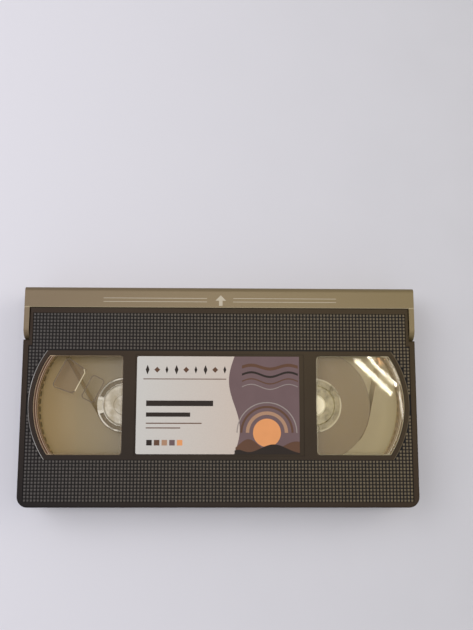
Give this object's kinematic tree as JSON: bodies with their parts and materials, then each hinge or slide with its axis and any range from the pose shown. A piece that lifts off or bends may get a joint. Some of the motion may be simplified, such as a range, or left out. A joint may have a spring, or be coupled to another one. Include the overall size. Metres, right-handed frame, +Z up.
{
  "type": "vhs tape",
  "caption": "Video cassette with two clear windows, a label bay, a hinged front door, two reels of tape, guides, reel brakes and a splined socket under each reel.",
  "frame": {"origin": "middle of the outline on the plane the underside rests on", "axes": "+X from the supply reel to the take-up reel, +Y towards the hinged front door, +Z up to the label side"},
  "size_m": [0.188, 0.104, 0.025],
  "materials": {
    "shell_plastic": "satin moulded, with a fine raised grip field",
    "door_plastic": "satin champagne with a fine metallic sheen",
    "clear_plastic": "clear moulded plastic with a smooth bevelled edge",
    "label_paper": "coated paper printed with plain fields of colour",
    "hub_plastic": "milky white moulding",
    "flange_plastic": "clear slightly milky moulding",
    "tape_film": "smooth wound film edges",
    "polished_steel": "bright plated steel",
    "spring_steel": "tempered spring steel",
    "flap_film": "thin amber film",
    "brake_plastic": "natural slippery moulding"
  },
  "bodies": {
    "shell": {"lower_shell": "shell_plastic", "upper_shell": "shell_plastic", "window_left": "clear_plastic", "window_right": "clear_plastic", "face_label": "label_paper", "tape_run": "tape_film", "guide_post_left": "polished_steel", "guide_post_right": "polished_steel", "guide_roller_pin": "polished_steel", "tape_pressure_flap": "flap_film", "shell_screws": "polished_steel", "reel_spring": "spring_steel", "door_spring": "spring_steel", "door_lock_spring": "spring_steel", "brake_spring_left": "spring_steel", "brake_spring_right": "spring_steel"},
    "door": {"front_door": "door_plastic"},
    "supply": {"supply_reel": "hub_plastic", "supply_upper_flange": "flange_plastic", "supply_leader_clamp": "hub_plastic"},
    "takeup": {"takeup_reel": "hub_plastic", "takeup_upper_flange": "flange_plastic", "takeup_leader_clamp": "hub_plastic", "tape_pack": "tape_film"},
    "roller": {"guide_roller": "hub_plastic"},
    "release": {"brake_release_lever": "brake_plastic"},
    "pawl_left": {"brake_pawl_left": "brake_plastic"},
    "pawl_right": {"brake_pawl_right": "brake_plastic"},
    "lock": {"door_lock": "brake_plastic"}
  },
  "joints": [
    {"name": "door_hinge", "type": "hinge", "parent": "shell", "child": "door", "pos_m": [0, 0.032, 0.0196], "axis": [1, 0, 0], "range_deg": [0, 90], "stiffness_Nm_per_rad": 0.004, "springref_deg": -34.38},
    {"name": "supply_reel_spin", "type": "hinge", "parent": "shell", "child": "supply", "pos_m": [-0.046, -0.0045, 0.01], "axis": [0, 0, 1], "continuous": true},
    {"name": "takeup_reel_spin", "type": "hinge", "parent": "shell", "child": "takeup", "pos_m": [0.046, -0.0045, 0.01], "axis": [0, 0, 1], "continuous": true},
    {"name": "guide_roller_spin", "type": "hinge", "parent": "shell", "child": "roller", "pos_m": [-0.083, 0.039, 0.011], "axis": [0, 0, 1], "continuous": true},
    {"name": "brake_release", "type": "hinge", "parent": "shell", "child": "release", "pos_m": [0, -0.0405, 0.0065], "axis": [1, 0, 0], "range_deg": [0, 15], "stiffness_Nm_per_rad": 0.002, "springref_deg": -17.19},
    {"name": "brake_pawl_left_turn", "type": "hinge", "parent": "shell", "child": "pawl_left", "pos_m": [-0.019, -0.046, 0.005], "axis": [0, 0, 1], "range_deg": [-6.8, 0]},
    {"name": "brake_pawl_right_turn", "type": "hinge", "parent": "shell", "child": "pawl_right", "pos_m": [0.019, -0.046, 0.005], "axis": [0, 0, 1], "range_deg": [0, 6.8]},
    {"name": "door_lock_press", "type": "hinge", "parent": "shell", "child": "lock", "pos_m": [0.0868, 0.0335, 0.004], "axis": [0, 0, 1], "range_deg": [0, 6], "stiffness_Nm_per_rad": 0.003, "springref_deg": -11.46}
  ],
  "couplings": [
    {"joint": "brake_pawl_left_turn", "follows": "brake_release", "ratio": -0.45},
    {"joint": "brake_pawl_right_turn", "follows": "brake_release", "ratio": 0.45}
  ]
}
